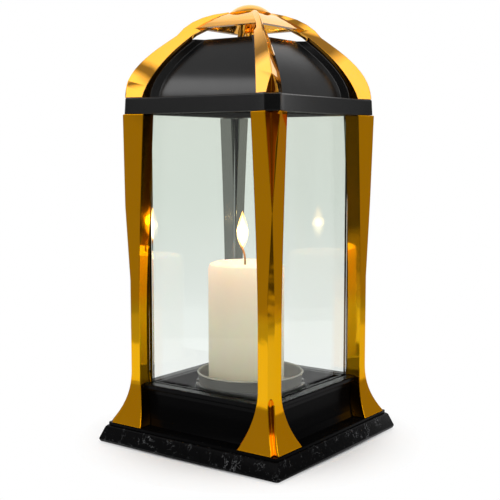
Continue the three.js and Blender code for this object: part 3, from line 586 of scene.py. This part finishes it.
def smoothing_group():
    """Merges the corners that triangles share and shades all but the sharp edges smooth."""
    group = bpy.data.node_groups.new("smooth_by_angle", "GeometryNodeTree")
    group.interface.new_socket("Geometry", in_out="INPUT", socket_type="NodeSocketGeometry")
    group.interface.new_socket("Geometry", in_out="OUTPUT", socket_type="NodeSocketGeometry")
    start = add(group, "NodeGroupInput")
    end = add(group, "NodeGroupOutput")
    merge = put(add(group, "GeometryNodeMergeByDistance"), Distance=MERGE_DISTANCE)
    angle = add(group, "GeometryNodeInputMeshEdgeAngle")
    soft = put(add(group, "FunctionNodeCompare", operation="LESS_THAN"), B=SMOOTH_ANGLE)
    faces = add(group, "GeometryNodeSetShadeSmooth")
    edges = add(group, "GeometryNodeSetShadeSmooth", domain="EDGE")
    group.links.new(start.outputs[0], merge.inputs["Geometry"])
    group.links.new(merge.outputs["Geometry"], faces.inputs["Geometry"])
    group.links.new(faces.outputs["Geometry"], edges.inputs["Geometry"])
    group.links.new(angle.outputs["Unsigned Angle"], soft.inputs["A"])
    group.links.new(soft.outputs["Result"], edges.inputs["Shade Smooth"])
    group.links.new(edges.outputs["Geometry"], end.inputs[0])
    return group


def dress_nodes(looks):
    """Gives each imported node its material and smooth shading."""
    group = smoothing_group()
    for name, node in nodes.items():
        look = next(look for prefix, look in looks if name.startswith(prefix))
        node.data.materials.clear()
        node.data.materials.append(look)
        packed_normals = node.data.attributes.get("custom_normal")
        if packed_normals is not None:
            node.data.attributes.remove(packed_normals)
        node.modifiers.new("smooth", "NODES").node_group = group


def flame_mesh(name, centre, bottom, rise, radius):
    """A slender flame, pointed at both ends and widest a little below the middle."""
    mesh = bpy.data.meshes.new(name)
    shape = bmesh.new()
    rings = []
    for step in range(1, FLAME_STEPS):
        share = step / FLAME_STEPS
        taper = 1 - share * FLAME_TAPER_SHARE
        out = radius * FLAME_SWELL_SHARE * math.sin(math.pi * share) * taper
        height = bottom + rise * share
        ring = []
        for side in range(FLAME_SIDES):
            angle = 2 * math.pi * side / FLAME_SIDES
            place = (centre.x + out * math.cos(angle), centre.y + out * math.sin(angle), height)
            ring.append(shape.verts.new(place))
        rings.append(ring)
    foot = shape.verts.new((centre.x, centre.y, bottom))
    tip = shape.verts.new((centre.x, centre.y, bottom + rise))
    for side in range(FLAME_SIDES):
        after = (side + 1) % FLAME_SIDES
        shape.faces.new((foot, rings[0][after], rings[0][side]))
        shape.faces.new((tip, rings[-1][side], rings[-1][after]))
        for low, high in zip(rings, rings[1:]):
            shape.faces.new((low[side], low[after], high[after], high[side]))
    for face in shape.faces:
        face.smooth = True
    shape.to_mesh(mesh)
    shape.free()
    piece = bpy.data.objects.new(name, mesh)
    bpy.context.scene.collection.objects.link(piece)
    return piece


def make_flames():
    """The flame's veil and core, and the light that it gives."""
    low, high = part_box("wick")
    centre = Vector((low.x + FLAME_SHIFT[0], (low.y + high.y) / 2 + FLAME_SHIFT[1], 0))
    bottom = high.z - FLAME_SINK
    top = bottom + FLAME_RISE
    veil = flame_mesh("flame_veil", centre, bottom, FLAME_RISE, FLAME_RADIUS)
    veil.data.materials.append(make_flame("flame_veil", bottom, top, VEIL_TONES, VEIL_SHARE))
    core_rise = FLAME_RISE * CORE_RISE_SHARE
    core_radius = FLAME_RADIUS * CORE_RADIUS_SHARE
    core_top = bottom + core_rise
    core = flame_mesh("flame_core", centre, bottom + CORE_LIFT, core_rise, core_radius)
    core.data.materials.append(make_flame("flame_core", bottom, core_top, CORE_TONES, CORE_SHARE))
    lamp = bpy.data.lights.new("flame_light", "POINT")
    lamp.color = FLAME_LIGHT_TONE
    lamp.energy = FLAME_POWER
    lamp.shadow_soft_size = FLAME_RADIUS
    glow = bpy.data.objects.new("flame_light", lamp)
    glow.location = (centre.x, centre.y, bottom + FLAME_RISE / 2)
    bpy.context.scene.collection.objects.link(glow)
    for piece in (veil, core, glow):
        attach(piece, "candle")
    for piece in (veil, core):
        piece.visible_shadow = False


# Surroundings

def beside(turn, rise=0.0):
    """A direction turned anticlockwise, seen from above, from the camera's side, and raised."""
    heading = CAMERA_TURN + turn
    level = math.cos(rise)
    return Vector((math.sin(heading) * level, -math.cos(heading) * level, math.sin(rise)))


def past(tree, value, edge):
    """0 before an edge and 1 after it, with a soft step."""
    return window(tree, value, edge - TABLE_SOFTNESS / 2, edge + TABLE_SOFTNESS / 2)


def ray_kinds(tree):
    """1 where a mirroring surface sent the ray, and 1 where the camera looks, also through glass."""
    path = add(tree, "ShaderNodeLightPath")
    mirrored = maths(tree, "GREATER_THAN", path.outputs["Glossy Depth"], 0)
    seen = maths(tree, "MAXIMUM", path.outputs["Is Camera Ray"], path.outputs["Is Transmission Ray"])
    return mirrored, maths(tree, "GREATER_THAN", seen, mirrored)


def dimmed_room(tree, direction, length=1.0):
    """The dim room's tone in a direction of a given length: darker towards the camera's side."""
    cosine = maths(tree, "DIVIDE", along(tree, direction, beside(0.0)), length)
    dark = window(tree, cosine, *CAMERA_SIDE_EDGE)
    return mixed(tree, dark, grey(ROOM_LIGHT), grey(CAMERA_SIDE_LIGHT))


def mirrored_table(tree, place, radius):
    """The table, its rim and the room, as bright metal shows them in place of the floor."""
    waves = spread(tree, noise(tree, scale=9.0, detail=2.0), -TABLE_WAVES, TABLE_WAVES)
    reach = maths(tree, "ADD", radius, waves)
    rim = grey(TABLE_RIM_LIGHT)
    left = mixed(tree, past(tree, reach, TABLE_EDGE), grey(TABLE_LIGHT), rim)
    right = mixed(tree, past(tree, reach, TABLE_RIGHT_EDGE), grey(TABLE_RIGHT_LIGHT), rim)
    side = window(tree, along(tree, place, beside(TABLE_RIGHT_TURN)), 0.0, TABLE_SEAM)
    room = dimmed_room(tree, place, radius)
    return mixed(tree, past(tree, reach, TABLE_END), mixed(tree, side, left, right), room)


def make_floor():
    """A pale floor that keeps the shadow near the lantern and runs out into the white backdrop."""
    mesh = bpy.data.meshes.new("floor")
    shape = bmesh.new()
    bmesh.ops.create_circle(shape, cap_ends=True, segments=FLOOR_SIDES, radius=FLOOR_RADIUS)
    shape.to_mesh(mesh)
    shape.free()
    floor = bpy.data.objects.new("floor", mesh)
    floor.location.z = cad_box[0].z - FLOOR_GAP
    bpy.context.scene.collection.objects.link(floor)
    material, tree, shader = new_material("floor")
    put(shader, Roughness=0.6, Base_Color=opaque(grey(FLOOR_TONE)))
    x, y = parts_of(tree, "Object")[:2]
    radius = axis_distance(tree, x, y)
    table = mirrored_table(tree, coordinates(tree, "Object"), radius)
    mirrored, seen = ray_kinds(tree)
    shown = add(tree, "ShaderNodeEmission")
    tree.links.new(mixed(tree, mirrored, grey(1.0), table), shown.inputs["Color"])
    away = maths(tree, "MULTIPLY", window(tree, radius, SHADOW_NEAR, SHADOW_FAR), seen)
    share = maths(tree, "MAXIMUM", away, mirrored)
    cover(tree, mixed_shader(tree, share, shader.outputs["BSDF"], shown.outputs["Emission"]))
    floor.data.materials.append(material)


def studio_light(tree, direction, height):
    """The studio's tone in a direction: the dim room, the lit backdrop and the light overhead."""
    low = window(tree, along(tree, direction, beside(math.pi)), *BACKDROP_EDGE)
    top = window(tree, along(tree, direction, beside(math.pi, BACKDROP_RISE)), *BACKDROP_TOP_EDGE)
    raised = window(tree, height, *BACKDROP_FOOT_EDGE)
    backdrop = maths(tree, "MULTIPLY", maths(tree, "MAXIMUM", low, top), raised)
    room = mixed(tree, backdrop, dimmed_room(tree, direction), grey(BACKDROP_LIGHT))
    axis = beside(OVERHEAD_TURN, math.pi / 2 - OVERHEAD_TILT)
    fade = math.cos(OVERHEAD_SPREAD * OVERHEAD_FADE_SHARE)
    overhead = window(tree, along(tree, direction, axis), fade, math.cos(OVERHEAD_SPREAD))
    return mixed(tree, overhead, room, grey(OVERHEAD_LIGHT))


def make_world():
    """White to the camera, an even fill for matt surfaces, and a lit studio for what mirrors it."""
    world = bpy.data.worlds.new("studio")
    world.use_nodes = True
    bpy.context.scene.world = world
    tree = world.node_tree
    tree.nodes.clear()
    height = parts_of(tree, "Generated")[2]
    studio = studio_light(tree, coordinates(tree, "Generated"), height)
    below, level, above = (grey(tone) for tone in FILL_LIGHTS)
    rise = window(tree, height, -1.0, 1.0)
    fill = ramp(tree, rise, ((0.0, below), (0.5, level), (1.0, above)))
    mirrored, seen = ray_kinds(tree)
    light = add(tree, "ShaderNodeBackground")
    tree.links.new(mixed(tree, mirrored, fill, studio), light.inputs["Color"])
    white = put(add(tree, "ShaderNodeBackground"), Color=opaque(grey(1.0)))
    surface = mixed_shader(tree, seen, light.outputs["Background"], white.outputs["Background"])
    output = add(tree, "ShaderNodeOutputWorld")
    tree.links.new(surface, output.inputs["Surface"])


def soft_box(name, turn, foot, size, radiance):
    """An upright soft box that shines at the lantern and fades out towards one edge."""
    width, height = size
    lamp = bpy.data.lights.new(name, "AREA")
    lamp.shape = "RECTANGLE"
    lamp.size = width
    lamp.size_y = height
    lamp.energy = radiance * width * height * math.pi
    lamp.use_nodes = True
    tree = lamp.node_tree
    parts = add(tree, "ShaderNodeSeparateXYZ")
    tree.links.new(add(tree, "ShaderNodeNewGeometry").outputs["Parametric"], parts.inputs["Vector"])
    fade = window(tree, parts.outputs["Y"], 1.0, 1.0 - BOX_FADE_SHARE)
    tree.links.new(fade, tree.nodes["Emission"].inputs["Strength"])
    holder = bpy.data.objects.new(name, lamp)
    holder.location = beside(turn) * BOX_DISTANCE + Vector((0, 0, foot + height / 2))
    holder.rotation_mode = "QUATERNION"
    holder.rotation_quaternion = (-beside(turn)).to_track_quat("-Z", "Y")
    bpy.context.scene.collection.objects.link(holder)


def make_lamps():
    """The two soft boxes."""
    soft_box("left_box", LEFT_BOX_TURN, LEFT_BOX_FOOT, LEFT_BOX_SIZE, LEFT_BOX_LIGHT)
    soft_box("right_box", RIGHT_BOX_TURN, RIGHT_BOX_FOOT, RIGHT_BOX_SIZE, RIGHT_BOX_LIGHT)


def make_camera():
    """The photograph's own view."""
    camera = bpy.data.cameras.new("camera")
    camera.sensor_width = SENSOR
    camera.lens = LENS
    camera.clip_start = CAMERA_DISTANCE * CAMERA_NEAR_SHARE
    camera.clip_end = FLOOR_RADIUS * CAMERA_FAR_SHARE
    holder = bpy.data.objects.new("camera", camera)
    away = beside(0.0)
    holder.location = away * CAMERA_DISTANCE + Vector((0, 0, CAMERA_HEIGHT))
    look = -away * math.cos(CAMERA_PITCH) + Vector((0, 0, math.sin(CAMERA_PITCH)))
    holder.rotation_mode = "QUATERNION"
    holder.rotation_quaternion = look.to_track_quat("-Z", "Y")
    bpy.context.scene.collection.objects.link(holder)
    bpy.context.scene.camera = holder


make_camera()
make_world()
make_floor()
make_lamps()
dress_nodes(make_looks())
make_flames()

bpy.context.scene.view_settings.view_transform = "Standard"
